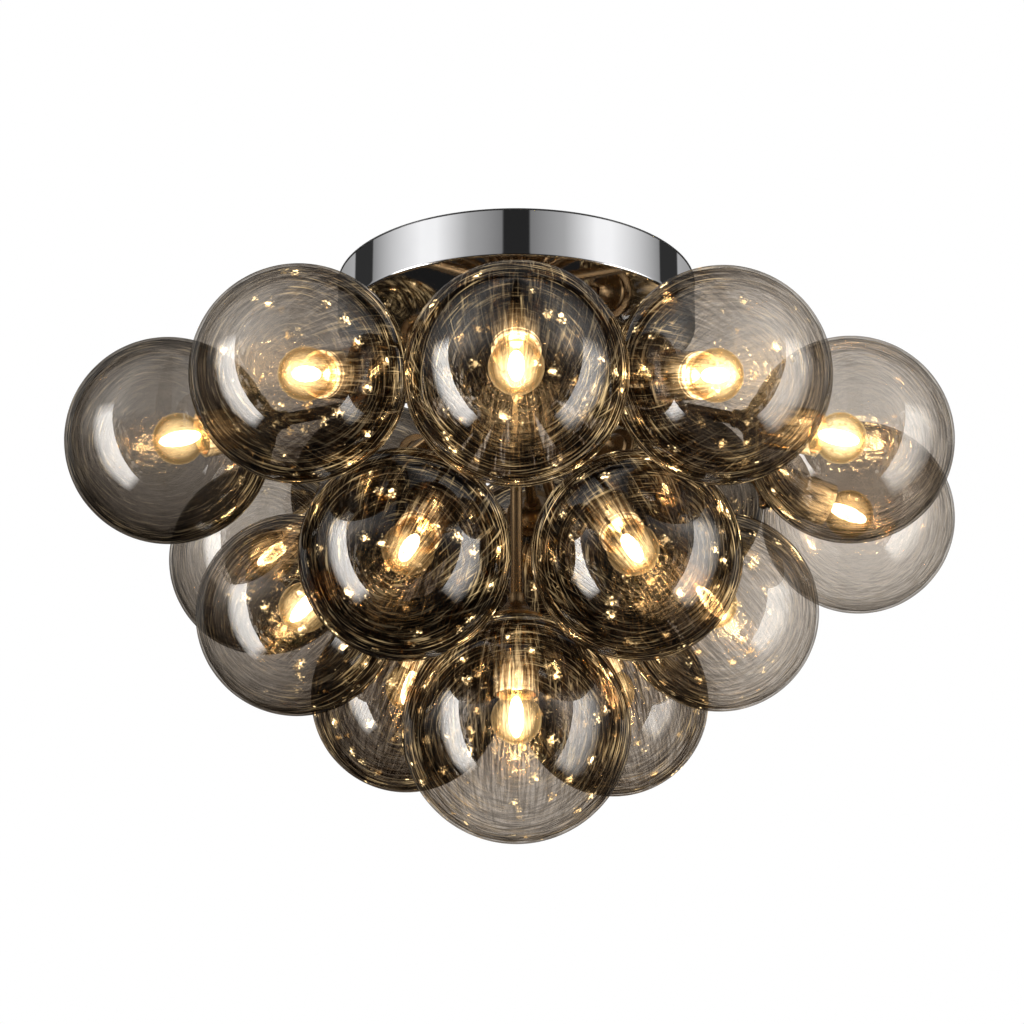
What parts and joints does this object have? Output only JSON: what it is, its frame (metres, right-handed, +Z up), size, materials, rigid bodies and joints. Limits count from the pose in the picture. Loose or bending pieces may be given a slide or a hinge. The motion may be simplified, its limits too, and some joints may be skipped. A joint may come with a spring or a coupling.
{
  "type": "bubble chandelier",
  "caption": "Flush ceiling light: a cluster of smoked glass bubble globes, each with a golf-ball bulb in a brass holder, on arms from one hub under a round chrome canopy.",
  "frame": {"origin": "on the ceiling, at the centre of the canopy, on the top face of the ceiling bracket", "axes": "+Z up into the ceiling, -Y towards the front of the light as pictured, +X to the right in that view"},
  "size_m": [0.7123, 0.7644, 0.4693],
  "materials": {
    "smoked_glass": "clear smoke-grey blown glass, polished, see-through, darker at the rim",
    "bulb_glass": "clear bulb glass with a warm lit filament and a metal screw cap",
    "brass": "polished gold-toned brass",
    "chrome": "mirror-polished chrome plate",
    "zinc_steel": "zinc-plated steel",
    "white_plastic": "plain white moulded plastic"
  },
  "bodies": {
    "fixture": {"arm_upper_front": "brass", "bulb_upper_front": "bulb_glass", "arm_upper_front_left": "brass", "bulb_upper_front_left": "bulb_glass", "arm_upper_front_right": "brass", "bulb_upper_front_right": "bulb_glass", "arm_upper_left": "brass", "bulb_upper_left": "bulb_glass", "arm_upper_right": "brass", "bulb_upper_right": "bulb_glass", "arm_upper_rear_left": "brass", "bulb_upper_rear_left": "bulb_glass", "arm_upper_rear_right": "brass", "bulb_upper_rear_right": "bulb_glass", "arm_upper_back_left": "brass", "bulb_upper_back_left": "bulb_glass", "arm_upper_back_right": "brass", "bulb_upper_back_right": "bulb_glass", "arm_upper_back": "brass", "bulb_upper_back": "bulb_glass", "arm_middle_front_left": "brass", "bulb_middle_front_left": "bulb_glass", "arm_middle_front_right": "brass", "bulb_middle_front_right": "bulb_glass", "arm_middle_left": "brass", "bulb_middle_left": "bulb_glass", "arm_middle_right": "brass", "bulb_middle_right": "bulb_glass", "arm_middle_back_left": "brass", "bulb_middle_back_left": "bulb_glass", "arm_middle_back_right": "brass", "bulb_middle_back_right": "bulb_glass", "arm_bottom": "brass", "bulb_bottom": "bulb_glass", "canopy": "chrome", "canopy_nut": "chrome", "ceiling_bracket": "zinc_steel", "earth_screw": "brass", "hub": "brass", "hub_stem": "zinc_steel", "stem_lock_nut": "zinc_steel", "terminal_block": "white_plastic"},
    "globe_upper_front": {"globe_upper_front": "smoked_glass"},
    "globe_upper_front_left": {"globe_upper_front_left": "smoked_glass"},
    "globe_upper_front_right": {"globe_upper_front_right": "smoked_glass"},
    "globe_upper_left": {"globe_upper_left": "smoked_glass"},
    "globe_upper_right": {"globe_upper_right": "smoked_glass"},
    "globe_upper_rear_left": {"globe_upper_rear_left": "smoked_glass"},
    "globe_upper_rear_right": {"globe_upper_rear_right": "smoked_glass"},
    "globe_upper_back_left": {"globe_upper_back_left": "smoked_glass"},
    "globe_upper_back_right": {"globe_upper_back_right": "smoked_glass"},
    "globe_upper_back": {"globe_upper_back": "smoked_glass"},
    "globe_middle_front_left": {"globe_middle_front_left": "smoked_glass"},
    "globe_middle_front_right": {"globe_middle_front_right": "smoked_glass"},
    "globe_middle_left": {"globe_middle_left": "smoked_glass"},
    "globe_middle_right": {"globe_middle_right": "smoked_glass"},
    "globe_middle_back_left": {"globe_middle_back_left": "smoked_glass"},
    "globe_middle_back_right": {"globe_middle_back_right": "smoked_glass"},
    "globe_bottom": {"globe_bottom": "smoked_glass"}
  },
  "joints": [
    {"name": "globe_upper_front_turn", "type": "hinge", "parent": "fixture", "child": "globe_upper_front", "pos_m": [0, -0.31065, -0.20928], "axis": [0, -0.5299, -0.848], "range_deg": [0, 360]},
    {"name": "globe_upper_front_left_turn", "type": "hinge", "parent": "fixture", "child": "globe_upper_front_left", "pos_m": [-0.15769, -0.25235, -0.18476], "axis": [-0.5005, -0.801, -0.3284], "range_deg": [0, 360]},
    {"name": "globe_upper_front_right_turn", "type": "hinge", "parent": "fixture", "child": "globe_upper_front_right", "pos_m": [0.14989, -0.24946, -0.18476], "axis": [0.4853, -0.8077, -0.3349], "range_deg": [0, 360]},
    {"name": "globe_upper_left_turn", "type": "hinge", "parent": "fixture", "child": "globe_upper_left", "pos_m": [-0.26832, -0.10841, -0.17985], "axis": [-0.8777, -0.3546, -0.3224], "range_deg": [0, 360]},
    {"name": "globe_upper_right_turn", "type": "hinge", "parent": "fixture", "child": "globe_upper_right", "pos_m": [0.25691, -0.11438, -0.18149], "axis": [0.8606, -0.3831, -0.3356], "range_deg": [0, 360]},
    {"name": "globe_upper_rear_left_turn", "type": "hinge", "parent": "fixture", "child": "globe_upper_rear_left", "pos_m": [-0.21164, 0.11731, -0.19784], "axis": [-0.788, 0.4368, -0.4339], "range_deg": [0, 360]},
    {"name": "globe_upper_rear_right_turn", "type": "hinge", "parent": "fixture", "child": "globe_upper_rear_right", "pos_m": [0.28447, 0.08157, -0.17331], "axis": [0.9179, 0.2632, -0.2969], "range_deg": [0, 360]},
    {"name": "globe_upper_back_left_turn", "type": "hinge", "parent": "fixture", "child": "globe_upper_back_left", "pos_m": [-0.1189, 0.2145, -0.103], "axis": [-0.4829, 0.8712, -0.0882], "range_deg": [0, 360]},
    {"name": "globe_upper_back_right_turn", "type": "hinge", "parent": "fixture", "child": "globe_upper_back_right", "pos_m": [0.13158, 0.1411, -0.1357], "axis": [0.6564, 0.7039, -0.2714], "range_deg": [0, 360]},
    {"name": "globe_upper_back_turn", "type": "hinge", "parent": "fixture", "child": "globe_upper_back", "pos_m": [0.02076, 0.29685, -0.13243], "axis": [0.0687, 0.9832, -0.1694], "range_deg": [0, 360]},
    {"name": "globe_middle_front_left_turn", "type": "hinge", "parent": "fixture", "child": "globe_middle_front_left", "pos_m": [-0.08323, -0.15015, -0.28776], "axis": [-0.31, -0.5592, -0.7689], "range_deg": [0, 360]},
    {"name": "globe_middle_front_right_turn", "type": "hinge", "parent": "fixture", "child": "globe_middle_front_right", "pos_m": [0.09097, -0.12991, -0.28122], "axis": [0.3565, -0.5091, -0.7834], "range_deg": [0, 360]},
    {"name": "globe_middle_left_turn", "type": "hinge", "parent": "fixture", "child": "globe_middle_left", "pos_m": [-0.17289, -0.01209, -0.2894], "axis": [-0.6384, -0.0446, -0.7684], "range_deg": [0, 360]},
    {"name": "globe_middle_right_turn", "type": "hinge", "parent": "fixture", "child": "globe_middle_right", "pos_m": [0.16228, 0.01993, -0.27631], "axis": [0.6377, 0.0783, -0.7663], "range_deg": [0, 360]},
    {"name": "globe_middle_back_left_turn", "type": "hinge", "parent": "fixture", "child": "globe_middle_back_left", "pos_m": [-0.09184, 0.14697, -0.30901], "axis": [-0.3209, 0.5136, -0.7957], "range_deg": [0, 360]},
    {"name": "globe_middle_back_right_turn", "type": "hinge", "parent": "fixture", "child": "globe_middle_back_right", "pos_m": [0.08165, 0.16025, -0.30901], "axis": [0.2814, 0.5522, -0.7848], "range_deg": [0, 360]},
    {"name": "globe_bottom_turn", "type": "hinge", "parent": "fixture", "child": "globe_bottom", "pos_m": [0, 0, -0.37932], "axis": [0, 0, -1], "range_deg": [0, 360]}
  ]
}
